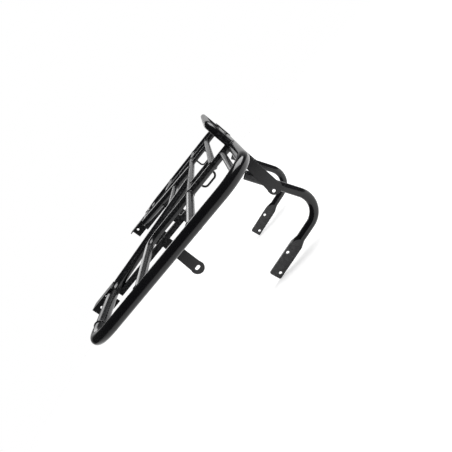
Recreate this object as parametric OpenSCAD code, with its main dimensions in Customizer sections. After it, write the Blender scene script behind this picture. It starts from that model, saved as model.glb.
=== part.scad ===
// Rear load rack for a quad bike, welded from bent round tube.
// Millimetres. +X points to the back of the vehicle, -Y is the vehicle's left
// side, +Z is up. The modules are drawn about the middle of the outer hoop, at
// the height of its tube centreline; the part's own origin is the middle of
// the box around the whole rack.

/* [Outer hoop] */
// Outside diameter of the outer hoop, front tubes and legs
main_d = 22; // [18:0.5:28]
// Wall thickness of the thick tubes
main_wall = 2; // [1:0.1:3]
// Length of the hoop between tube centrelines
hoop_length = 400; // [340:2:480]
// Width of the hoop between tube centrelines
hoop_width = 944; // [800:2:1040]
// Centreline bend radius of the two back corners
rear_radius = 60; // [45:1:80]
// Centreline bend radius of the two front corners
front_radius = 60; // [40:1:80]
// Straight stub of the hoop after each front corner
hoop_stub = 18; // [8:1:40]

/* [Front tubes] */
// Distance from the middle at which the front tube turns back
notch_y = 245; // [225:1:260]
// Centreline bend radius of that turn
notch_radius = 45; // [36:1:60]
// Angle of that turn
notch_turn = 60; // [56:1:64]

/* [Inner frame] */
// Outside diameter of the thin tubes
bar_d = 16; // [12:0.5:19]
// Wall thickness of the thin tubes
bar_wall = 1.5; // [1:0.1:2.5]
// Height of the inner frame above the hoop
inner_z = 8; // [5:0.5:12]
// Height of the side ties where they meet the hoop
tie_z = 2; // [0:0.5:2.5]
// Distance of the two inner rails from the middle of the rack
inner_y = 252; // [235:1:280]
// Centreline bend radius at the front of the inner rails
inner_radius = 34; // [26:1:45]
// Distance of the front leg of the inner rails behind the hoop's front
inner_front_x = 136; // [110:1:160]
// Distance of the middle bar and the middle side ties ahead of the crossbar
mid_x = 129; // [110:1:150]
// Distance of the back bar ahead of the crossbar
back_x = 55; // [45:1:75]
// Distance of the bar across the seat cut-out ahead of the middle bar
cut_x = 81; // [51:1:111]
// How far that bar sits below the inner frame
cut_sink = 1; // [0:0.5:2]
// Diameter of the short ties
tie_d = 12; // [8:0.5:14]
// Distance of the back corner ties ahead of the crossbar
corner_x = 24; // [22:0.5:28]
// Distance of the short middle ties from the middle of the rack
short_y = 169; // [150:1:185]

/* [Raised back bar] */
// Height of the raised bar above the hoop
raised_z = 66; // [50:1:90]
// Centreline bend radius of the raised bar
raised_radius = 24; // [18:1:34]

/* [Lamp plate] */
// Width of the lamp plate
lamp_w = 60; // [40:1:90]
// Top of the lamp plate
lamp_top = 37; // [28:1:46]
// Height of the lamp plate
lamp_h = 42; // [30:1:50]
// Height between the two lamp plate holes
lamp_pitch = 17; // [12:0.5:17.5]
// Gap between the lower lamp plate hole and the crossbar
lamp_gap = 0.9; // [0.5:0.1:1.4]
// Diameter of the lamp plate holes
lamp_hole = 5.5; // [4:0.1:8]

/* [Plates] */
// Thickness of the welded plates
plate_t = 3; // [2:0.5:5]
// Distance of the front bracket webs from the middle
front_web_y = 276; // [262:1:290]
// How far the front brackets reach ahead of the front tube centreline
front_reach = 52; // [40:1:65]
// Width of the top flange of the front brackets
front_flange = 32; // [20:1:40]
// Reach of the top flange behind the front tube
front_over = 3; // [0:0.5:8]
// Depth of the front bracket webs below the hoop's centreline
front_low = 16.5; // [13:0.5:22]
// Height of the front bracket webs above the front tube
front_rise = 6; // [4.5:0.5:10]
// Diameter of the front bracket bolt holes
front_hole = 8.5; // [6:0.1:11]
// Distance of that hole from the front edge of the web
front_hole_x = 17; // [12:1:26]
// Height of that hole above the hoop's centreline
front_hole_z = 4; // [0:0.5:6]
// Diameter of the weld relief in the web
relief_d = 7; // [5:0.5:9]

/* [Under rails] */
// Outside size of the square under rails
under_s = 12; // [10:0.5:16]
// Distance of the under rails from the middle
under_y = 241; // [236:0.5:244]
// Top face of the under rails
under_top = -6.5; // [-8:0.1:-6]
// Distance of the under rails' back ends ahead of the middle bar
under_back_x = 35; // [25:1:45]
// How far the under rails start ahead of the front tube's centreline
under_lead = 2; // [0:0.5:4]
// Length of the spacer between under rail and inner rail
spacer_l = 18; // [12:1:24]
// Width of the spacer
spacer_w = 11; // [9:0.5:12]
// Distance of the spacer's middle ahead of the middle bar
spacer_x = 59; // [51:1:71]

/* [Slotted tabs] */
// Distance of the tab's round end ahead of the front tube above it
tab_x = 5.5; // [0:0.5:14]
// Width of the tab's head against the front tube
tab_head_w = 38; // [32:1:44]
// Depth of the tab's head below the hoop's centreline
tab_head_h = 30; // [22:1:40]
// Depth of the slot below the hoop
tab_drop = 127; // [110:1:145]
// Radius of the lower round end
tab_r = 17; // [13:0.5:20]
// Width of the tab where it leaves the head
tab_neck = 25; // [20:0.5:32]
// Length of the slot
slot_l = 15; // [11:0.5:20]
// Width of the slot
slot_w = 8.5; // [6:0.1:10]

/* [Legs] */
// Distance of the leg tubes from the middle
leg_y = 169; // [155:1:180]
// Centreline bend radius of the leg
leg_radius = 52; // [40:1:64]
// Length of the straight upper part of the leg
leg_upper = 200; // [180:1:220]
// Lean of the upper part from the vertical
leg_lean = 21.5; // [15:0.5:28]
// Slope of the lower part below the horizontal
leg_slope = 8.5; // [4:0.5:14]
// Length of the lower part from the bend to the pressed end
leg_lower = 41; // [30:1:55]
// Length of the flat pressed end
leg_flat = 112; // [100:1:130]
// Thickness of the flat pressed end
flat_t = 5; // [4:0.5:7]
// Diameter of the two bolt holes in the pressed end
leg_hole = 8.5; // [6:0.1:11]
// Place of the first bolt hole along the pressed end
hole_a_x = 45; // [36:1:50]
// Place of the second bolt hole along the pressed end
hole_b_x = 98; // [80:1:100]
// Sideways offset of the two bolt holes from the middle line
hole_side = 7; // [0:0.5:9]
// Length of the blend from the round tube to the pressed end
leg_blend = 26; // [16:1:30]
// Corner radius of the pressed end
leg_corner = 4; // [2:0.5:8]
// Distance of the leg's top end ahead of the crossbar
leg_top_x = 33; // [28:1:38]
// Depth of the leg's top end below the hoop
leg_top_z = 71; // [62:1:80]
// Depth to which the leg is flattened against the back bracket
leg_face = 0.6; // [0.4:0.1:1]
// Distance of the back bracket's lower end below the hoop
bracket_drop = 156; // [146:1:170]
// Width of the back bracket at the crossbar
bracket_top = 20; // [16:0.5:24]
// Radius of the back bracket's lower end
bracket_r = 17; // [15:0.5:19]
// Distance of that round end ahead of the crossbar
bracket_x = 12; // [8:0.5:16]
// Distance of the bracket's hole ahead of the crossbar
bracket_hole_x = 18.5; // [16:0.5:20]
// Height of the bracket's hole above its lower end
bracket_hole_z = 13; // [11:0.5:17]
// Diameter of the hole in the back bracket
bracket_hole = 8; // [5:0.1:10]

/* [Lashing loops] */
// Diameter of the loop rod
loop_d = 5; // [4:0.5:7]
// Distance between the two legs of a loop
loop_w = 40; // [30:1:46]
// Depth of a loop below the hoop
loop_drop = 24; // [18:1:30]
// Centreline bend radius of a loop
loop_radius = 10; // [6:0.5:12]

/* [Hidden] */
fine = 64;
smooth = 96;
eps = 0.05;
// hairline ring that joins a bend to the straight tube after it
lap = 0.05;
lap_back = 0.4;
lap_l = 0.9;
main_r = main_d / 2;
bar_r = bar_d / 2;
tie_r = tie_d / 2;
half_l = hoop_length / 2;
half_w = hoop_width / 2;
hoop_end_y = half_w - front_radius - hoop_stub;
mid_at = half_l - mid_x;
back_at = half_l - back_x;
cut_at = mid_at - cut_x;
corner_at = half_l - corner_x;
inner_front_at = inner_front_x - half_l;
// tilt of the side ties and of the front legs of the inner rails
tie_tilt = atan((inner_z - tie_z) / (half_w - inner_y));
// run of the diagonal part of the front tube
diag_x = mid_at + half_l;
diag_a = 90 - notch_turn;
diag_y = diag_x * tan(diag_a);
diag_l = sqrt(diag_x * diag_x + diag_y * diag_y);
notch_end_y = notch_y - diag_y;
notch_t = notch_radius * tan(notch_turn / 2);
// tilt of the front tubes, which climb from the hoop to the inner frame
notch_tilt = atan(inner_z / (hoop_end_y - notch_end_y));
front_tube_end = mid_at - bar_r / 2;
tab_at = mid_at - (short_y - notch_end_y) / tan(diag_a) - tab_x;
web_y = leg_y + main_r + plate_t / 2 - leg_face;
flat_h = PI / 2 * (main_d - flat_t) + flat_t;
leg_turn = 90 + leg_lean - leg_slope;
// where the leg's two straight parts would meet, its back and its lowest point
leg_tangent = leg_radius * tan(leg_turn / 2);
leg_knee_x = half_l - leg_top_x + leg_upper * sin(leg_lean);
leg_knee_z = -leg_top_z - leg_upper * cos(leg_lean);
leg_back_x = leg_knee_x - leg_tangent * sin(leg_lean) + leg_radius * (1 - cos(leg_lean)) + main_r;
leg_low_z = leg_knee_z - (leg_tangent + leg_lower + leg_flat - leg_corner) * sin(leg_slope)
            - (flat_h / 2 - leg_corner) * cos(leg_slope) - leg_corner;
// the part's origin, from the middle of the hoop
origin_x = (leg_back_x - half_l - front_reach) / 2;
origin_z = (raised_z + bar_r + leg_low_z) / 2;
// how far the bracket's back edge stands behind its round end at the crossbar
bracket_slack = 2;
// where a plate's straight sides run into its round end
end_reach = 0.93;

// round tube from the origin along +X; wall = r gives a solid round bar
module tube(l, r, wall) {
  rotate([0, 90, 0])
    difference() {
      cylinder(r = r, h = l, $fn = fine);
      if (wall < r)
        translate([0, 0, -eps])
          cylinder(r = r - wall, h = l + 2 * eps, $fn = fine);
    }
}

// tube that follows a bend: a hairline ring laps over the joint
module joined_tube(l, r, wall) {
  translate([2 * lap, 0, 0])
    tube(l - 2 * lap, r, wall);
  translate([-lap_back, 0, 0])
    tube(lap_l, r + lap, min(wall + 2 * lap, r + lap));
}

module rod(l, r) {
  rotate([0, 90, 0])
    cylinder(r = r, h = l, $fn = fine);
}

// quarter-style bend: starts at the origin along +X and turns to +Y
module bend(radius, turn, r, wall) {
  translate([0, radius, 0])
    rotate([0, 0, -90])
      rotate_extrude(angle = turn, $fn = smooth)
        translate([radius, 0])
          difference() {
            circle(r = r, $fn = fine);
            if (wall < r)
              circle(r = r - wall, $fn = fine);
          }
}

// moves its children to the end of a bend
module after_bend(radius, turn) {
  translate([0, radius, 0])
    rotate([0, 0, turn])
      translate([0, -radius, 0])
        children();
}

// left half as drawn, or the mirrored right half
module side(right) {
  mirror([0, right ? 1 : 0, 0])
    children();
}

// half of the hoop, from the middle of the crossbar to the front end
module hoop_half() {
  translate([half_l, 0, 0])
    rotate([0, 0, -90])
      mirror([0, 1, 0]) {
        tube(half_w - rear_radius, main_r, main_wall);
        translate([half_w - rear_radius, 0, 0]) {
          bend(rear_radius, 90, main_r, main_wall);
          after_bend(rear_radius, 90) {
            tube(hoop_length - rear_radius - front_radius, main_r, main_wall);
            translate([hoop_length - rear_radius - front_radius, 0, 0]) {
              bend(front_radius, 90, main_r, main_wall);
              after_bend(front_radius, 90)
                tube(half_w - front_radius - hoop_end_y, main_r, main_wall);
            }
          }
        }
      }
}

module outer_hoop() {
  color("black")
    for (right = [false, true])
      side(right)
        hoop_half();
}

// path of the front tube; wall = r gives the full round bar used as a cutter
module front_path(wall, extra) {
  translate([-half_l, -hoop_end_y, 0])
    rotate([notch_tilt, 0, 0])
      rotate([0, 0, 90])
        mirror([0, 1, 0]) {
          translate([-extra, 0, 0])
            tube(hoop_end_y - notch_y - notch_t + extra, main_r, wall);
          translate([hoop_end_y - notch_y - notch_t, 0, 0]) {
            bend(notch_radius, notch_turn, main_r, wall);
            after_bend(notch_radius, notch_turn)
              joined_tube(diag_l - notch_t + main_r, main_r, wall);
          }
        }
}

module front_tube(right) {
  color("black")
    side(right)
      difference() {
        front_path(main_wall, 1);
        // square joint with the hoop's front end
        translate([-half_l - main_d, -hoop_end_y - main_d, -main_d])
          cube([2 * main_d, main_d, 2 * main_d]);
        // saddle against the middle bar
        bar_cutter(mid_at);
        translate([front_tube_end, -half_w, -half_w])
          cube([hoop_width, hoop_width, hoop_width]);
      }
}

module bar_cutter(x) {
  translate([x, 0, inner_z])
    rotate([90, 0, 0])
      cylinder(r = bar_r, h = hoop_width, center = true, $fn = fine);
}

module rail_cutter() {
  translate([-half_l, -half_w, 0])
    rod(hoop_length, main_r);
}

module crossbar_cutter() {
  translate([half_l, 0, 0])
    rotate([90, 0, 0])
      cylinder(r = main_r, h = hoop_width, center = true, $fn = fine);
}

module inner_cutter() {
  translate([-half_l, -inner_y, inner_z])
    rod(hoop_length, bar_r);
}

// bent tube: front leg from the hoop inwards, then straight back
module inner_rail(right) {
  color("black")
    side(right)
      difference() {
        translate([0, -inner_y, inner_z])
          rotate([tie_tilt, 0, 0]) {
            translate([inner_front_at, -inner_radius, 0])
              rotate([0, 0, -90])
                tube(half_w - inner_y - inner_radius, bar_r, bar_wall);
            translate([inner_front_at, -inner_radius, 0])
              rotate([0, 0, 90])
                mirror([0, 1, 0])
                  bend(inner_radius, 90, bar_r, bar_wall);
            translate([inner_front_at + inner_radius, 0, 0])
              tube(half_l - inner_front_at - inner_radius, bar_r, bar_wall);
          }
        rail_cutter();
        crossbar_cutter();
        // mouth around the foot of the raised bar
        translate([half_l, -inner_y, 0])
          cylinder(r = bar_r, h = raised_z, $fn = fine);
      }
}

module middle_bar() {
  cross_bar(mid_at);
}

module back_bar() {
  cross_bar(back_at);
}

// straight bar between the two inner rails
module cross_bar(x) {
  color("black")
    difference() {
      translate([x, -inner_y, inner_z])
        rotate([0, 0, 90])
          tube(2 * inner_y, bar_r, bar_wall);
      for (right = [false, true])
        side(right)
          inner_cutter();
    }
}

module cutout_bar() {
  color("black")
    difference() {
      translate([cut_at, -inner_y, inner_z - cut_sink])
        rotate([0, 0, 90])
          tube(2 * inner_y, bar_r, bar_wall);
      for (right = [false, true])
        side(right) {
          front_path(main_r, 0);
          // nothing is left outside the front tubes
          translate([-half_l, -notch_y, inner_z - cut_sink])
            rotate([0, 0, diag_a])
              translate([0, -hoop_width / 2, -main_d])
                cube([hoop_length, hoop_width / 2, 2 * main_d]);
        }
    }
}

// tie between hoop and inner rail, sloping down to the hoop
module sloping_tie(x, r, wall) {
  difference() {
    translate([x, -inner_y, inner_z])
      rotate([tie_tilt, 0, 0])
        rotate([0, 0, -90])
          tube(half_w - inner_y, r, wall);
    rail_cutter();
    inner_cutter();
  }
}

module side_tie(right) {
  color("black")
    side(right)
      sloping_tie(mid_at, bar_r, bar_wall);
}

module corner_tie(right) {
  color("black")
    side(right)
      difference() {
        sloping_tie(corner_at, tie_r, bar_wall);
        // clear of the hoop's back corner
        translate([half_l - rear_radius, -half_w + rear_radius, 0])
          rotate([0, 0, -90])
            rotate_extrude(angle = 90, $fn = smooth)
              translate([rear_radius, 0])
                circle(r = main_r, $fn = fine);
        translate([half_l - rear_radius, -half_w + rear_radius, -main_d])
          corner_outside();
      }
}

// everything outside the corner's centreline
module corner_outside() {
  difference() {
    translate([0, -2 * rear_radius, 0])
      cube([2 * rear_radius, 2 * rear_radius, 2 * main_d]);
    translate([0, 0, -eps])
      cylinder(r = rear_radius, h = 2 * main_d + 2 * eps, $fn = smooth);
  }
}

module short_tie(right) {
  color("black")
    side(right)
      difference() {
        translate([mid_at, -short_y, inner_z])
          tube(back_at - mid_at, tie_r, bar_wall);
        for (x = [mid_at, back_at])
          bar_cutter(x);
      }
}

// half of the raised bar: foot on the hoop, upright, bend, half of the top
module raised_half() {
  translate([half_l, -inner_y, 0])
    rotate([90, 0, 90])
      rotate([0, 0, 90])
        mirror([0, 1, 0]) {
          tube(raised_z - raised_radius, bar_r, bar_wall);
          translate([raised_z - raised_radius, 0, 0]) {
            bend(raised_radius, 90, bar_r, bar_wall);
            after_bend(raised_radius, 90)
              tube(inner_y - raised_radius, bar_r, bar_wall);
          }
        }
}

module raised_bar() {
  color("black")
    difference() {
      for (right = [false, true])
        side(right)
          raised_half();
      crossbar_cutter();
    }
}

module lamp_plate() {
  lower_z = main_r + lamp_gap + lamp_hole / 2;
  color("black")
    difference() {
      translate([half_l + main_r - plate_t / 2, -lamp_w / 2, lamp_top - lamp_h])
        cube([plate_t, lamp_w, lamp_h]);
      crossbar_cutter();
      for (z = [lower_z, lower_z + lamp_pitch])
        translate([half_l, 0, z])
          rotate([0, 90, 0])
            cylinder(d = lamp_hole, h = main_d, $fn = fine);
    }
}

// angle bracket: upright web ahead of the front tube, flange on top of it
module front_bracket(right) {
  web_top = main_r + front_rise;
  color("black")
    side(right)
      difference() {
        union() {
          translate([-half_l - front_reach, -front_web_y - plate_t / 2, -front_low])
            cube([front_reach, plate_t, web_top + front_low]);
          translate([-half_l - front_reach, -front_web_y - plate_t / 2, web_top - plate_t])
            cube([front_reach + main_r + front_over, front_flange, plate_t]);
        }
        front_path(main_r, 0);
        // bolt hole, then the weld relief over the front tube
        translate([-half_l - front_reach + front_hole_x, -front_web_y, front_hole_z])
          rotate([90, 0, 0])
            cylinder(d = front_hole, h = 4 * plate_t, center = true, $fn = fine);
        translate([-half_l - relief_d, -front_web_y, main_r])
          rotate([90, 0, 0])
            cylinder(d = relief_d, h = 4 * plate_t, center = true, $fn = fine);
      }
}

module under_rail(right) {
  start = -half_l - under_lead;
  len = mid_at - under_back_x - start;
  bore = under_s - 2 * bar_wall;
  color("black")
    side(right)
      difference() {
        translate([start, -under_y - under_s / 2, under_top - under_s])
          cube([len, under_s, under_s]);
        translate([start - eps, -under_y - bore / 2, under_top - under_s + bar_wall])
          cube([len + 2 * eps, bore, bore]);
        front_path(main_r, 0);
      }
}

// block between the under rail and the inner rail
module spacer(right) {
  color("black")
    side(right)
      difference() {
        translate([mid_at - spacer_x - spacer_l / 2, -under_y - under_s / 2, under_top])
          cube([spacer_l, spacer_w, inner_z - under_top]);
        inner_cutter();
      }
}

// upright plate: top edge from x0 to x1 at height h, round lower end at [x, z]
module round_ended_plate(x, z, r, x0, x1, h) {
  reach = end_reach * r;
  rotate([90, 0, 0]) {
    linear_extrude(plate_t)
      polygon([[x0, h], [x1, h], [x + reach, z], [x - reach, z]]);
    translate([x, z, 0])
      cylinder(r = r, h = plate_t, $fn = smooth);
  }
}

// slot across an upright plate
module slot_cutter(x, z) {
  run = (slot_l - slot_w) / 2;
  translate([x, 0, z])
    rotate([90, 0, 0]) {
      for (k = [-1, 1])
        translate([k * run, 0, 0])
          cylinder(d = slot_w, h = 4 * plate_t, center = true, $fn = fine);
      cube([2 * run, slot_w, 4 * plate_t], center = true);
    }
}

// head under the front tube, neck that widens downwards, round lower end
module slotted_tab(right) {
  head_x = tab_at + tab_x;
  color("black")
    side(right)
      translate([0, -short_y, 0])
        difference() {
          union() {
            translate([head_x - tab_head_w / 2, -plate_t / 2, -tab_head_h])
              cube([tab_head_w, plate_t, tab_head_h]);
            translate([0, plate_t / 2, 0])
              round_ended_plate(tab_at, -tab_drop, tab_r, head_x - tab_neck / 2,
                                head_x + tab_neck / 2, -tab_head_h / 2);
          }
          slot_cutter(tab_at, -tab_drop);
          translate([0, short_y, 0])
            front_path(main_r, 0);
        }
}

// upright plate under the crossbar that carries the leg
module back_bracket(right) {
  top_back = half_l + bracket_r - bracket_x + bracket_slack;
  color("black")
    side(right)
      difference() {
        translate([0, -web_y + plate_t / 2, 0])
          round_ended_plate(half_l - bracket_x, bracket_r - bracket_drop, bracket_r,
                            top_back - bracket_top, top_back, 0);
        crossbar_cutter();
        translate([half_l - bracket_hole_x, -web_y, bracket_hole_z - bracket_drop])
          rotate([90, 0, 0])
            cylinder(d = bracket_hole, h = 4 * plate_t, center = true, $fn = fine);
      }
}

// leg: straight upper part, bend, straight lower part, pressed flat end
module leg(right) {
  color("black")
    side(right)
      difference() {
        translate([half_l - leg_top_x, -leg_y, -leg_top_z])
          rotate([90, 0, 0])
            rotate([0, 0, leg_lean - 90])
              leg_path();
        // flat side against the back bracket
        translate([0, -web_y - plate_t / 2, -bracket_drop])
          cube([hoop_length, plate_t, bracket_drop]);
      }
}

module leg_path() {
  run = leg_upper - leg_tangent;
  tube(run, main_r, main_wall);
  translate([run, 0, 0])
    mirror([0, 1, 0]) {
      bend(leg_radius, leg_turn, main_r, main_wall);
      after_bend(leg_radius, leg_turn) {
        joined_tube(leg_lower, main_r, main_wall);
        translate([leg_lower, 0, 0])
          pressed_end();
      }
    }
}

// solid stretch in which the round tube goes over into the flat end
module pressed_blend(l) {
  rim = 1.05 * main_r;
  intersection() {
    rotate([0, 90, 0])
      cylinder(r1 = main_r, r2 = 1.6 * main_r, h = l, $fn = fine);
    rotate([90, 0, 0])
      linear_extrude(4 * main_r, center = true)
        polygon([[0, -rim], [l, -flat_t / 2], [l, flat_t / 2], [0, rim]]);
    linear_extrude(4 * main_r, center = true)
      polygon([[0, -rim], [l, -flat_h / 2], [l, flat_h / 2], [0, rim]]);
  }
}

// round tube pressed flat, with two bolt holes set on a diagonal
module pressed_end() {
  difference() {
    union() {
      pressed_blend(leg_blend);
      translate([leg_blend, -flat_h / 2, -flat_t / 2])
        cube([leg_flat - leg_blend - leg_corner, flat_h, flat_t]);
      translate([leg_flat - leg_corner, 0, 0])
        for (k = [-1, 1])
          translate([0, k * (flat_h / 2 - leg_corner), 0])
            cylinder(r = leg_corner, h = flat_t, center = true, $fn = fine);
      translate([leg_flat / 2, leg_corner - flat_h / 2, -flat_t / 2])
        cube([leg_flat / 2, flat_h - 2 * leg_corner, flat_t]);
    }
    for (h = [[hole_a_x, hole_side], [hole_b_x, -hole_side]])
      translate([h[0], h[1], 0])
        cylinder(d = leg_hole, h = 4 * flat_t, center = true, $fn = fine);
  }
}

// bent rod under the short tie, for lashing straps
module lashing_loop(right) {
  r = loop_d / 2;
  start = (mid_at + back_at - loop_w) / 2;
  color("black")
    side(right)
      difference() {
        translate([start, -short_y, inner_z])
          rotate([90, 0, 0])
            rotate([0, 0, -90]) {
              drop = inner_z + loop_drop - r - loop_radius;
              tube(drop, r, r);
              translate([drop, 0, 0]) {
                bend(loop_radius, 90, r, r);
                after_bend(loop_radius, 90) {
                  tube(loop_w - 2 * loop_radius, r, r);
                  translate([loop_w - 2 * loop_radius, 0, 0]) {
                    bend(loop_radius, 90, r, r);
                    after_bend(loop_radius, 90)
                      tube(drop, r, r);
                  }
                }
              }
            }
        translate([mid_at, -short_y, inner_z])
          rod(back_at - mid_at, tie_r);
        translate([mid_at, -short_y - tie_d, inner_z])
          cube([back_at - mid_at, 2 * tie_d, tie_d]);
      }
}

translate([-origin_x, 0, -origin_z]) {
  outer_hoop();
  front_tube(false);  // front_tube_left
  front_tube(true);  // front_tube_right
  inner_rail(false);  // inner_rail_left
  inner_rail(true);  // inner_rail_right
  middle_bar();
  side_tie(false);  // side_tie_left
  side_tie(true);  // side_tie_right
  back_bar();
  cutout_bar();
  short_tie(false);  // short_tie_left
  short_tie(true);  // short_tie_right
  corner_tie(false);  // corner_tie_left
  corner_tie(true);  // corner_tie_right
  raised_bar();
  lamp_plate();
  front_bracket(false);  // front_bracket_left
  front_bracket(true);  // front_bracket_right
  under_rail(false);  // under_rail_left
  under_rail(true);  // under_rail_right
  spacer(false);  // spacer_left
  spacer(true);  // spacer_right
  slotted_tab(false);  // slotted_tab_left
  slotted_tab(true);  // slotted_tab_right
  back_bracket(false);  // back_bracket_left
  back_bracket(true);  // back_bracket_right
  leg(false);  // leg_left
  leg(true);  // leg_right
  lashing_loop(false);  // lashing_loop_left
  lashing_loop(true);  // lashing_loop_right
}
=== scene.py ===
import math

import bmesh
import bpy
from mathutils import Matrix, Vector


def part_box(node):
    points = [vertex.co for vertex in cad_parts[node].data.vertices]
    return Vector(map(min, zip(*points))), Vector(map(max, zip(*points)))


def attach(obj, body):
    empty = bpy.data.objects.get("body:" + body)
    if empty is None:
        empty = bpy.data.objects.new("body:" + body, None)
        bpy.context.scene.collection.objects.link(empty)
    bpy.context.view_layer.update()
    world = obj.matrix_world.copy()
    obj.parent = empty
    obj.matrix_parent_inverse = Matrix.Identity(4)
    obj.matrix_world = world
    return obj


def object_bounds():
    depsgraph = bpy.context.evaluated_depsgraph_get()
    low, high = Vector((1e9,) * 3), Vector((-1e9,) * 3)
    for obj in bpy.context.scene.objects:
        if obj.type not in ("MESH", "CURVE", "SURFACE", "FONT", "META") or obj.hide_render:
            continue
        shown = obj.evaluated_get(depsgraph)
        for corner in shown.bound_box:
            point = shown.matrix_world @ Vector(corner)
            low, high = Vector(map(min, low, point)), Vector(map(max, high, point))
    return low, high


# Rear rack of a quad bike: coats, weld beads, studio and camera. Lengths are metres
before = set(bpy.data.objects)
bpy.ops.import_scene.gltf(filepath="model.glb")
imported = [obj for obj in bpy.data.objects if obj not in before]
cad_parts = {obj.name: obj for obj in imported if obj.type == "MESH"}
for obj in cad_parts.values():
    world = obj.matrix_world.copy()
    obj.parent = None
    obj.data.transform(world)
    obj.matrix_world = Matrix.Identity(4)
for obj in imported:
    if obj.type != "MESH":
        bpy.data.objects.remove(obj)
cad_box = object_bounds()
MM = 0.001
X = Vector((1, 0, 0))
Y = Vector((0, 1, 0))
Z = Vector((0, 0, 1))

# Facts read from the frame. Places count from the middle of the outer hoop's box, which lies on
# the plane of its tube's centreline
HOOP_MIDDLE = sum(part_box("outer_hoop"), Vector()) / 2


def box(node):
    low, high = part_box(node)
    return low - HOOP_MIDDLE, high - HOOP_MIDDLE


def middle(node):
    low, high = box(node)
    return (low + high) / 2


def half(node):
    low, high = box(node)
    return (high - low) / 2


HOOP_R = half("outer_hoop").z
HOOP_X = half("outer_hoop").x - HOOP_R
HOOP_Y = half("outer_hoop").y - HOOP_R
BAR_R = half("middle_bar").x
TIE_R = half("short_tie_left").y
BAR_Z = middle("middle_bar").z
MID_X = middle("middle_bar").x
BACK_X = middle("back_bar").x
CUT_X = middle("cutout_bar").x
CUT_Z = middle("cutout_bar").z
INNER_Y = half("raised_bar").y - BAR_R
INNER_FRONT_X = box("inner_rail_left")[0].x + BAR_R
SHORT_Y = -middle("short_tie_left").y
CORNER_X = middle("corner_tie_left").x
TAB_Y = -middle("slotted_tab_left").y
WEB_Y = -middle("back_bracket_left").y
PLATE = 2 * half("slotted_tab_left").y

# Facts that a box doesn't give
TIE_Z = 2 * MM
HOOP_BEND = 60 * MM
HOOP_END_Y = 394 * MM
DIAGONAL = math.radians(30)
DIAGONAL_END_Y = 88.5 * MM
FRONT_WEB_Y = 276 * MM
LEG_LEAN = math.radians(21.5)
LEG_TOP_X = 167 * MM

# Coats: scales of the noise, per metre
CLOUD_SCALE = 14
MOTTLE_SCALE = 220
GRIT_SCALE = 1500
PEEL_SCALE = 260
FINE_SCALE = 1100

# Coats: the span of noise or pointiness that each effect starts and ends on
CLOUD_SPAN = (0.35, 0.7)
PATCH_SPAN = (0.45, 0.65)
MOTTLE_SPAN = (0.3, 0.75)
DUST_SPAN = (0.76, 0.82)
EDGE_SPAN = (0.53, 0.60)

# Coats: colours and amounts
DEEP_BLACK = (0.006, 0.006, 0.007, 1)
TUBE_PALE = (0.009, 0.009, 0.010, 1)
PLATE_PALE = (0.010, 0.010, 0.011, 1)
WORN_EDGE = (0.10, 0.10, 0.105, 1)
DUST = (0.09, 0.088, 0.085, 1)
DUST_SHARE = 0.12
LEAST_ROUGH = 0.85
MOST_ROUGH = 1.25
PEEL_DEPTH = 0.03 * MM
FINE_DEPTH = 0.01 * MM
FINE_SHARE = 0.5
PAINT_IOR = 1.5
GLOSS_WEIGHT = 0.35
GLOSS_ROUGH = 0.10


# Materials
def node_tree(owner):
    """The nodes of a material or the world, a maker of nodes and the call that links them."""
    owner.use_nodes = True
    tree = owner.node_tree

    def make(kind, **values):
        node = tree.nodes.new(kind)
        for key, value in values.items():
            setattr(node, key, value)
        return node
    return tree.nodes, make, tree.links.new


def noise(make, link, place, scale, detail=3.0, rough=0.55):
    texture = make("ShaderNodeTexNoise")
    texture.inputs["Scale"].default_value = scale
    texture.inputs["Detail"].default_value = detail
    texture.inputs["Roughness"].default_value = rough
    link(place, texture.inputs["Vector"])
    return texture.outputs["Fac"]


def ranged(make, link, source, span, result=(0, 1)):
    """The source, with one span of its values stretched to another and clamped there."""
    remap = make("ShaderNodeMapRange")
    remap.inputs["From Min"].default_value = span[0]
    remap.inputs["From Max"].default_value = span[1]
    remap.inputs["To Min"].default_value = result[0]
    remap.inputs["To Max"].default_value = result[1]
    link(source, remap.inputs["Value"])
    return remap.outputs["Result"]


def blended(make, link, factor, first, second):
    mix = make("ShaderNodeMix", data_type="RGBA")
    for index, value in ((0, factor), (6, first), (7, second)):
        if isinstance(value, bpy.types.NodeSocket):
            link(value, mix.inputs[index])
        else:
            mix.inputs[index].default_value = value
    return mix.outputs[2]


def calculated(make, link, operation, first, second):
    result = make("ShaderNodeMath", operation=operation)
    link(first, result.inputs[0])
    link(second, result.inputs[1])
    return result.outputs[0]


def bumped(make, link, height, strength, distance, below=None):
    bump = make("ShaderNodeBump")
    bump.inputs["Strength"].default_value = strength
    bump.inputs["Distance"].default_value = distance
    link(height, bump.inputs["Height"])
    if below is not None:
        link(below, bump.inputs["Normal"])
    return bump.outputs["Normal"]


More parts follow.
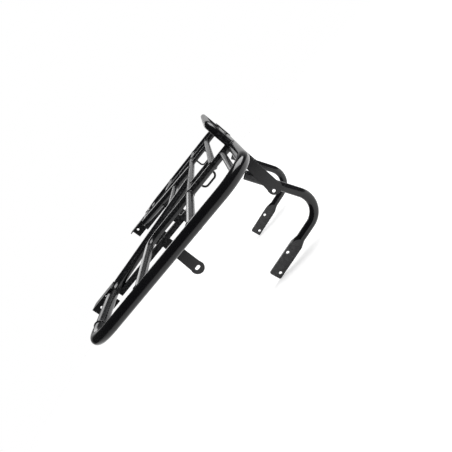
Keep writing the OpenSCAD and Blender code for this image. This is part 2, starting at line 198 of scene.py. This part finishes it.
def powder_coat(name, pale, rough, peel, edge_wear):
    """Gloss black powder coat with clouds, orange peel, fine dust and paint thinned at edges."""
    material = bpy.data.materials.new(name)
    nodes, make, link = node_tree(material)
    shader = nodes["Principled BSDF"]
    place = make("ShaderNodeTexCoord").outputs["Object"]
    cloud = noise(make, link, place, CLOUD_SCALE)
    mottle = noise(make, link, place, MOTTLE_SCALE, detail=4)
    grit = noise(make, link, place, GRIT_SCALE, detail=1)
    cloudy = blended(make, link, ranged(make, link, cloud, CLOUD_SPAN), DEEP_BLACK, pale)
    point = make("ShaderNodeNewGeometry").outputs["Pointiness"]
    edge = ranged(make, link, point, EDGE_SPAN, (0, edge_wear))
    patch = ranged(make, link, mottle, PATCH_SPAN)
    patchy = calculated(make, link, "MULTIPLY", edge, patch)
    worn = blended(make, link, patchy, cloudy, WORN_EDGE)
    speck = ranged(make, link, grit, DUST_SPAN, (0, DUST_SHARE))
    link(blended(make, link, speck, worn, DUST), shader.inputs["Base Color"])
    roughness = ranged(make, link, mottle, MOTTLE_SPAN, (rough * LEAST_ROUGH, rough * MOST_ROUGH))
    link(roughness, shader.inputs["Roughness"])
    waves = noise(make, link, place, PEEL_SCALE, detail=1)
    wavy = bumped(make, link, waves, peel, PEEL_DEPTH)
    grain = noise(make, link, place, FINE_SCALE, detail=2)
    fine = bumped(make, link, grain, peel * FINE_SHARE, FINE_DEPTH, wavy)
    link(fine, shader.inputs["Normal"])
    shader.inputs["Metallic"].default_value = 0.0
    shader.inputs["IOR"].default_value = PAINT_IOR
    shader.inputs["Coat Weight"].default_value = GLOSS_WEIGHT
    shader.inputs["Coat Roughness"].default_value = GLOSS_ROUGH
    return material


TUBE_COAT = powder_coat("tube_coat", TUBE_PALE, rough=0.16, peel=0.3, edge_wear=0.35)
BAR_COAT = powder_coat("bar_coat", TUBE_PALE, rough=0.22, peel=0.2, edge_wear=0.35)
PLATE_COAT = powder_coat("plate_coat", PLATE_PALE, rough=0.22, peel=0.4, edge_wear=0.6)
WELD_COAT = powder_coat("weld_coat", PLATE_PALE, rough=0.26, peel=0.5, edge_wear=0.4)

# Nodes without their side. Those that are in neither list are bars and rods
THICK_TUBES = ("outer_hoop", "front_tube", "leg")
PLATES = ("lamp_plate", "front_bracket", "back_bracket", "slotted_tab", "under_rail", "spacer")
COATS = {**dict.fromkeys(THICK_TUBES, TUBE_COAT), **dict.fromkeys(PLATES, PLATE_COAT)}

# Rounded edges of the plates
SEAM = 0.001 * MM
EDGE_R = 0.5 * MM
EDGE_STEPS = 2
EDGE_ANGLE = math.radians(40)


def without_side(name):
    return name.removesuffix("_left").removesuffix("_right")


def dress_nodes():
    """Gives each CAD node its coat, and the plates small rounded edges where the paint thins."""
    for name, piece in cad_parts.items():
        base = without_side(name)
        piece.data.materials.clear()
        piece.data.materials.append(COATS.get(base, BAR_COAT))
        if base in PLATES:
            weld = piece.modifiers.new("seams", "WELD")
            weld.merge_threshold = SEAM
            bevel = piece.modifiers.new("edges", "BEVEL")
            bevel.width = EDGE_R
            bevel.segments = EDGE_STEPS
            bevel.limit_method = "ANGLE"
            bevel.angle_limit = EDGE_ANGLE
            bevel.harden_normals = True


# Weld beads: radii, and the corners of a bead's cross-section
BEAD = 2.0 * MM
SMALL_BEAD = 1.5 * MM
LOOP_BEAD = 1.2 * MM
BEAD_SIDES = 8

# Ripples along a bead, their depth as a share of its radius, and the rings that draw one
RIPPLE_STEP = 2.2 * MM
RIPPLE_DEPTH = 0.16
RIPPLE_RINGS = 4

# Share of the radius at an open bead's end ring, and what each ring adds until the bead is full
TIP_SHARE = 0.35
TIP_STEP = 0.3

# Points of the lines that beads follow
LEAST_POINTS = 4
ROUND_POINTS = 72
ARC_POINTS = 40


def resampled(points, closed, step):
    """Points along the same line at an even step."""
    line = points + [points[0]] if closed else points
    runs = [(b - a).length for a, b in zip(line, line[1:])]
    total = sum(runs)
    count = max(LEAST_POINTS, round(total / step))
    result, index, passed = [], 0, 0.0
    for k in range(count if closed else count + 1):
        goal = total * k / count
        while index < len(runs) - 1 and passed + runs[index] < goal:
            passed += runs[index]
            index += 1
        share = (goal - passed) / runs[index] if runs[index] > 0 else 0
        result.append(line[index].lerp(line[index + 1], min(1, share)))
    return result


def add_bead(mesh, points, radius, closed):
    """A rippled bead along a line: rings of vertices joined by quads, with ends if it is open."""
    line = resampled(points, closed, RIPPLE_STEP / RIPPLE_RINGS)
    count = len(line)
    rings = []
    for k, point in enumerate(line):
        before = line[k - 1] if closed or k else line[0]
        after = line[(k + 1) % count] if closed or k < count - 1 else line[-1]
        along = (after - before).normalized()
        across = along.orthogonal().normalized() if not rings else rings[-1][1]
        across = (across - along * across.dot(along)).normalized()
        up = along.cross(across)
        wave = 1 - RIPPLE_DEPTH * (0.5 - 0.5 * math.cos(2 * math.pi * k / RIPPLE_RINGS))
        to_end = min(k, count - 1 - k)
        end = 1.0 if closed else min(1.0, TIP_SHARE + TIP_STEP * to_end)
        size = radius * wave * end
        verts = []
        for j in range(BEAD_SIDES):
            turn = 2 * math.pi * j / BEAD_SIDES
            out = across * math.cos(turn) + up * math.sin(turn)
            verts.append(mesh.verts.new(point + out * size))
        rings.append((verts, across))
    pairs = list(zip(rings, rings[1:])) + ([(rings[-1], rings[0])] if closed else [])
    for (current, _), (following, _) in pairs:
        shift = 0
        if closed and following is rings[0][0]:
            gaps = [(current[0].co - vert.co).length for vert in following]
            shift = gaps.index(min(gaps))
        for j in range(BEAD_SIDES):
            n = (j + 1) % BEAD_SIDES
            far = following[(n + shift) % BEAD_SIDES]
            near = following[(j + shift) % BEAD_SIDES]
            mesh.faces.new((current[j], current[n], far, near))
    if not closed:
        mesh.faces.new(list(reversed(rings[0][0])))
        mesh.faces.new(rings[-1][0])


def mirrored(points):
    return [Vector((p.x, -p.y, p.z)) for p in points]


def bead_piece(name, beads, both_sides=True):
    """One piece from several beads, each (points, radius, closed), on one side or on both."""
    mesh = bmesh.new()
    for points, radius, closed in beads:
        add_bead(mesh, points, radius, closed)
        if both_sides:
            add_bead(mesh, mirrored(points), radius, closed)
    bmesh.ops.recalc_face_normals(mesh, faces=mesh.faces)
    bmesh.ops.translate(mesh, vec=HOOP_MIDDLE, verts=mesh.verts)
    data = bpy.data.meshes.new(name)
    mesh.to_mesh(data)
    mesh.free()
    data.shade_smooth()
    data.materials.append(WELD_COAT)
    piece = bpy.data.objects.new(name, data)
    bpy.context.scene.collection.objects.link(piece)
    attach(piece, "root")


def around(centre, axis, radius):
    """Points on a circle about an axis."""
    side = axis.orthogonal().normalized()
    other = axis.cross(side)
    turns = [2 * math.pi * k / ROUND_POINTS for k in range(ROUND_POINTS)]
    return [centre + (side * math.cos(t) + other * math.sin(t)) * radius for t in turns]


def saddle(start, away, radius, targets):
    """Where a round tube from start in direction away meets round tubes (point, way, radius)."""
    away = away.normalized()
    found = []
    for foot in around(start, away, radius):
        reach = []
        for point, way, size in targets:
            way = way.normalized()
            offset = foot - point
            flat = offset - way * offset.dot(way)
            run = away - way * away.dot(way)
            a, b, c = run.dot(run), flat.dot(run), flat.dot(flat) - size * size
            inside = b * b - a * c
            if inside >= 0:
                reach.append((-b + math.sqrt(inside)) / a)
        if reach:
            found.append(foot + away * max(reach))
    return found


def arc(centre, u, v, start, end):
    """Points on an ellipse with half axes u and v, from one angle to another in degrees."""
    steps = [start + (end - start) * k / ARC_POINTS for k in range(ARC_POINTS + 1)]
    turns = [math.radians(step) for step in steps]
    return [centre + u * math.cos(t) + v * math.sin(t) for t in turns]


# Tubes that others end on, left side: a point on the centreline, its direction and the radius
CROSSBAR = (Vector((HOOP_X, 0, 0)), Y, HOOP_R)
SIDE_RAIL = (Vector((0, -HOOP_Y, 0)), X, HOOP_R)
INNER_RAIL = (Vector((0, -INNER_Y, BAR_Z)), X, BAR_R)
RISER = (Vector((HOOP_X, -INNER_Y, 0)), Z, BAR_R)
MIDDLE = (Vector((MID_X, 0, BAR_Z)), Y, BAR_R)
BACK = (Vector((BACK_X, 0, BAR_Z)), Y, BAR_R)
SLOPE = Vector((0, -(HOOP_Y - INNER_Y), TIE_Z - BAR_Z)).normalized()
DIAGONAL_WAY = Vector((-math.cos(DIAGONAL), -math.sin(DIAGONAL), 0))
DIAGONAL_END = Vector((MID_X, -DIAGONAL_END_Y, BAR_Z))
DIAGONAL_TUBE = (DIAGONAL_END, DIAGONAL_WAY, HOOP_R)

# Height of the front tube's centreline at the plates on it, as a share of its rise to the tray
FRONT_WEB_RISE = 0.4
TAB_RISE = 0.7

# The part of the tube that the bead goes round on each plate, in degrees up from the back
FRONT_WEB_ARC = (115, 245)
TAB_ARC = (210, 330)
BACK_WEB_ARC = (185, 310)

# The lamp plate's lower bead, in from the plate's front face
LAMP_BEAD_IN = PLATE / 3

# Beads between leg and back bracket: side of the tube (1 is the front), start and end down it
LEG_RUNS = ((1, 52 * MM, 84 * MM), (-1, 34 * MM, 86 * MM))
LEG_BEAD_OUT = HOOP_R * 0.45


def tray_welds():
    at_rail = Vector((0, -HOOP_Y, TIE_Z))
    at_inner = Vector((0, -INNER_Y, BAR_Z))
    corner_dx = CORNER_X - (HOOP_X - HOOP_BEND)
    corner_dy = math.sqrt(HOOP_BEND ** 2 - corner_dx ** 2)
    corner_at = Vector((CORNER_X, -HOOP_Y + HOOP_BEND - corner_dy, 0))
    corner_tube = (corner_at, Vector((corner_dy, corner_dx, 0)), HOOP_R)
    corner_foot = Vector((CORNER_X, corner_at.y, TIE_Z))
    bead_piece("tray_weld", [
        (saddle(at_rail + X * INNER_FRONT_X, -SLOPE, BAR_R, [SIDE_RAIL]), BEAD, True),
        (saddle(at_rail + X * MID_X, -SLOPE, BAR_R, [SIDE_RAIL]), BEAD, True),
        (saddle(at_inner + X * MID_X, SLOPE, BAR_R, [INNER_RAIL]), BEAD, True),
        (saddle(corner_foot, -SLOPE, TIE_R, [corner_tube]), SMALL_BEAD, True),
        (saddle(at_inner + X * CORNER_X, SLOPE, TIE_R, [INNER_RAIL]), SMALL_BEAD, True),
        (saddle(at_inner + X * MID_X, Y, BAR_R, [INNER_RAIL]), BEAD, True),
        (saddle(at_inner + X * BACK_X, Y, BAR_R, [INNER_RAIL]), BEAD, True),
        (saddle(Vector((MID_X, -SHORT_Y, BAR_Z)), X, TIE_R, [MIDDLE]), SMALL_BEAD, True),
        (saddle(Vector((BACK_X, -SHORT_Y, BAR_Z)), -X, TIE_R, [BACK]), SMALL_BEAD, True),
    ])


def raised_bar_welds():
    riser_foot = Vector((HOOP_X, -INNER_Y, 0))
    rail_end = Vector((HOOP_X, -INNER_Y, BAR_Z))
    bead_piece("raised_bar_weld", [
        (saddle(riser_foot, Z, BAR_R, [CROSSBAR]), BEAD, True),
        (saddle(rail_end, -X, BAR_R, [RISER, CROSSBAR]), SMALL_BEAD, True),
    ])


def front_welds():
    butt = Vector((-HOOP_X, -HOOP_END_Y, 0))
    cut_y = -DIAGONAL_END_Y - (MID_X - CUT_X) * math.tan(DIAGONAL)
    cut_at = Vector((CUT_X, cut_y, CUT_Z))
    bead_piece("front_tube_weld", [
        (around(butt, Y, HOOP_R), BEAD, True),
        (saddle(cut_at, Y, BAR_R, [DIAGONAL_TUBE]), BEAD, True),
        (saddle(DIAGONAL_END, DIAGONAL_WAY, HOOP_R, [MIDDLE]), BEAD, True),
    ])


def plate_beads(at, step, wide, angles):
    """A bead on each face of an upright plate, part of the way round the tube that crosses it.
    The tube's centreline goes through at, and moves by step over a unit of y."""
    faces = (-PLATE / 2, PLATE / 2)
    lines = [arc(at + step * face, wide, Z * HOOP_R, *angles) for face in faces]
    return [(line, SMALL_BEAD, False) for line in lines]


def plate_welds():
    front_at = Vector((-HOOP_X, -FRONT_WEB_Y, BAR_Z * FRONT_WEB_RISE))
    tab_x = MID_X - (TAB_Y - DIAGONAL_END_Y) / math.tan(DIAGONAL)
    tab_at = Vector((tab_x, -TAB_Y, BAR_Z * TAB_RISE))
    tab_step = Vector((-1 / math.tan(DIAGONAL), 1, 0))
    tab_wide = X * HOOP_R / math.sin(DIAGONAL)
    back_at = Vector((HOOP_X, -WEB_Y, 0))
    bead_piece("plate_weld", [
        *plate_beads(front_at, Y, X * HOOP_R, FRONT_WEB_ARC),
        *plate_beads(tab_at, tab_step, tab_wide, TAB_ARC),
        *plate_beads(back_at, Y, X * HOOP_R, BACK_WEB_ARC),
    ])


def lamp_plate_welds():
    """Two runs along the crossbar, over the lamp plate and along its lower edge."""
    low, high = box("lamp_plate")
    rest = math.sqrt(HOOP_R ** 2 - (low.x - HOOP_X) ** 2)
    above = [Vector((low.x, y, rest)) for y in (low.y, high.y)]
    below = [Vector((low.x + LAMP_BEAD_IN, y, low.z)) for y in (low.y, high.y)]
    runs = [(above, SMALL_BEAD, False), (below, SMALL_BEAD, False)]
    bead_piece("lamp_plate_weld", runs, both_sides=False)


def leg_welds():
    """Two runs where the leg lies against the back bracket, on its front and its back side."""
    down = Vector((math.sin(LEG_LEAN), 0, -math.cos(LEG_LEAN)))
    ahead = Vector((-math.cos(LEG_LEAN), 0, -math.sin(LEG_LEAN)))
    top = Vector((LEG_TOP_X, -WEB_Y + PLATE / 2, box("leg_left")[1].z))
    runs = []
    for side, start, end in LEG_RUNS:
        edge = top + ahead * (side * LEG_BEAD_OUT)
        runs.append(([edge + down * start, edge + down * end], BEAD, False))
    bead_piece("leg_weld", runs)


def loop_welds():
    low, high = box("lashing_loop_left")
    rod = half("lashing_loop_left").y
    at = Vector((0, -SHORT_Y, BAR_Z - TIE_R))
    places = (at + X * (low.x + rod), at + X * (high.x - rod))
    bead_piece("loop_weld", [(around(place, Z, rod), LOOP_BEAD, True) for place in places])


# Camera: place from the hoop's middle, turns about Z, X and Y, roll about the line of sight, and
# the lens
CAMERA_PLACE = Vector((0.2183, -1.0554, 0.1091))
CAMERA_YAW = 0.1897
CAMERA_PITCH = -0.2424
CAMERA_BANK = 0.0301
CAMERA_ROLL = math.radians(50.6)
IMAGE_SIDE = 452
FOCAL_PIXELS = 400
SENSOR = 36.0
CLIP_NEAR = 0.01
CLIP_FAR = 50


def camera_axes():
    """Right, up and forward of the photograph, in the rack's frame."""
    turn = (Matrix.Rotation(CAMERA_YAW, 3, "Z") @ Matrix.Rotation(CAMERA_PITCH, 3, "X")
            @ Matrix.Rotation(CAMERA_BANK, 3, "Y"))
    right, forward, up = turn @ X, turn @ Y, turn @ Z
    c, s = math.cos(CAMERA_ROLL), math.sin(CAMERA_ROLL)
    return right * c - up * s, right * s + up * c, forward


RIGHT, UP, FORWARD = camera_axes()

# World: what paint mirrors grows from dark to light between two cosines to the bright side
WHITE = (1, 1, 1, 1)
FILL = (0.6, 0.6, 0.6, 1)
BRIGHT_SIDE = (FORWARD * 0.80 + RIGHT * 0.25 - UP * 0.10).normalized()
BRIGHT_SPAN = (0.38, 0.98)
MIRROR_LEVELS = (0.015, 0.68)

# Softboxes: name, direction from the rack, distance, side and watts
SOFTBOXES = (
    ("overhead", UP - FORWARD * 0.15, 2.2, 1.5, 36),
    ("right_side", RIGHT - FORWARD * 0.25 - UP * 0.5, 2.6, 1.2, 3),
    ("back_left", FORWARD - RIGHT * 0.8 + UP * 0.5, 2.6, 1.2, 8),
)

# Floor: it fades out over the span, and the camera alone sees it lifted to the white behind it
FLOOR_RADIUS = 2.0
FLOOR_SIDES = 96
FLOOR_GAP = 1 * MM
FLOOR_COLOUR = (0.9, 0.9, 0.9, 1)
FLOOR_ROUGH = 0.9
FLOOR_SPECULAR = 0.1
FLOOR_LIFT = 0.38
FADE_SPAN = (0.45 * FLOOR_RADIUS, 0.95 * FLOOR_RADIUS)


def add_camera():
    data = bpy.data.cameras.new("camera")
    data.sensor_width = SENSOR
    data.lens = FOCAL_PIXELS / IMAGE_SIDE * SENSOR
    data.clip_start = CLIP_NEAR
    data.clip_end = CLIP_FAR
    camera = bpy.data.objects.new("camera", data)
    turn = Matrix((RIGHT, UP, -FORWARD)).transposed().to_4x4()
    camera.matrix_world = Matrix.Translation(HOOP_MIDDLE + CAMERA_PLACE) @ turn
    bpy.context.scene.collection.objects.link(camera)
    bpy.context.scene.camera = camera


def add_world():
    """White to the camera. Reflections are light from behind the rack and dark from in front."""
    world = bpy.data.worlds.new("studio")
    bpy.context.scene.world = world
    nodes, make, link = node_tree(world)
    background = nodes["Background"]
    paths = make("ShaderNodeLightPath").outputs
    lean = make("ShaderNodeVectorMath", operation="DOT_PRODUCT")
    link(make("ShaderNodeTexCoord").outputs["Generated"], lean.inputs[0])
    lean.inputs[1].default_value = BRIGHT_SIDE
    mirror = ranged(make, link, lean.outputs["Value"], BRIGHT_SPAN, MIRROR_LEVELS)
    seen = calculated(make, link, "MAXIMUM", paths["Is Camera Ray"], paths["Is Transmission Ray"])
    unseen = blended(make, link, paths["Is Glossy Ray"], FILL, mirror)
    link(blended(make, link, seen, unseen, WHITE), background.inputs["Color"])
    background.inputs["Strength"].default_value = 1.0


def add_softbox(name, direction, distance, side, watts):
    """A square lamp that faces the middle of the rack from a direction."""
    data = bpy.data.lights.new(name, "AREA")
    data.shape = "SQUARE"
    data.size = side
    data.energy = watts
    lamp = bpy.data.objects.new(name, data)
    centre = (cad_box[0] + cad_box[1]) / 2
    lamp.location = centre + direction.normalized() * distance
    lamp.visible_camera = False
    lamp.rotation_mode = "QUATERNION"
    lamp.rotation_quaternion = (-direction).to_track_quat("-Z", "Y")
    bpy.context.scene.collection.objects.link(lamp)


def floor_material():
    material = bpy.data.materials.new("pale_floor")
    nodes, make, link = node_tree(material)
    shader = nodes["Principled BSDF"]
    shader.inputs["Base Color"].default_value = FLOOR_COLOUR
    shader.inputs["Roughness"].default_value = FLOOR_ROUGH
    shader.inputs["Specular IOR Level"].default_value = FLOOR_SPECULAR
    glow = make("ShaderNodeEmission")
    glow.inputs["Color"].default_value = WHITE
    lift = make("ShaderNodeMath", operation="MULTIPLY")
    link(make("ShaderNodeLightPath").outputs["Is Camera Ray"], lift.inputs[0])
    lift.inputs[1].default_value = FLOOR_LIFT
    link(lift.outputs[0], glow.inputs["Strength"])
    both = make("ShaderNodeAddShader")
    link(shader.outputs[0], both.inputs[0])
    link(glow.outputs[0], both.inputs[1])
    clear = make("ShaderNodeBsdfTransparent")
    length = make("ShaderNodeVectorMath", operation="LENGTH")
    link(make("ShaderNodeTexCoord").outputs["Object"], length.inputs[0])
    fade = make("ShaderNodeMixShader")
    link(ranged(make, link, length.outputs["Value"], FADE_SPAN), fade.inputs[0])
    link(both.outputs[0], fade.inputs[1])
    link(clear.outputs[0], fade.inputs[2])
    link(fade.outputs[0], nodes["Material Output"].inputs["Surface"])
    return material


def add_floor():
    """A plain pale floor under the legs that fades out before its rim."""
    mesh = bmesh.new()
    bmesh.ops.create_circle(mesh, cap_ends=True, segments=FLOOR_SIDES, radius=FLOOR_RADIUS)
    data = bpy.data.meshes.new("floor")
    mesh.to_mesh(data)
    mesh.free()
    data.materials.append(floor_material())
    floor = bpy.data.objects.new("floor", data)
    floor.location = Vector((0, 0, cad_box[0].z - FLOOR_GAP))
    bpy.context.scene.collection.objects.link(floor)


dress_nodes()
tray_welds()
raised_bar_welds()
front_welds()
plate_welds()
lamp_plate_welds()
leg_welds()
loop_welds()
add_camera()
add_world()
add_floor()
for softbox in SOFTBOXES:
    add_softbox(*softbox)
bpy.context.scene.view_settings.view_transform = "Standard"
